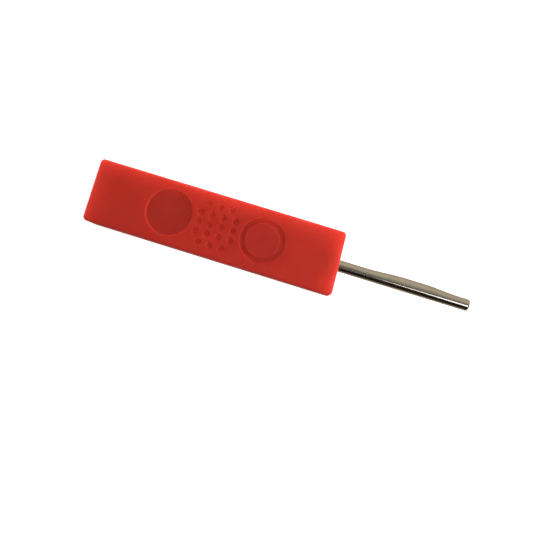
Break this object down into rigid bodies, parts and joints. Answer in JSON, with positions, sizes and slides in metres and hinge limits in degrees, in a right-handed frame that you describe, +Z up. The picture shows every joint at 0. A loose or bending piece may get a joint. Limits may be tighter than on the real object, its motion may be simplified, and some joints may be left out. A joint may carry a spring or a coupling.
{
  "type": "security tag detacher",
  "caption": "Hand-held tag detacher: flat two-piece plastic handle with a thumb recess, dimples and a ring groove, holding a straight round steel probe with a one-sided cam land.",
  "frame": {"origin": "middle of the whole tool's box, on the plane that the handle's underside rests on", "axes": "+X along the tool from the handle's tail to the probe's tip, +Y across the handle towards the side that the probe's cam land is on, +Z up out of the grip face"},
  "size_m": [0.1342, 0.022, 0.014],
  "materials": {
    "red_plastic": "injection-moulded red plastic with a fine spark-eroded texture, smoother in the sunk features",
    "probe_steel": "bright nickel-plated steel, polished lengthwise",
    "block_steel": "plain milled steel",
    "pin_steel": "dark hardened spring steel",
    "bush_brass": "turned brass",
    "screw_zinc": "bright zinc-plated steel"
  },
  "bodies": {
    "root": {"upper_half": "red_plastic", "lower_half": "red_plastic", "probe": "probe_steel", "anchor_block": "block_steel", "anchor_pin": "pin_steel", "nose_bush": "bush_brass", "case_screw_1": "screw_zinc", "case_screw_2": "screw_zinc", "case_screw_3": "screw_zinc", "case_screw_4": "screw_zinc"}
  },
  "joints": []
}
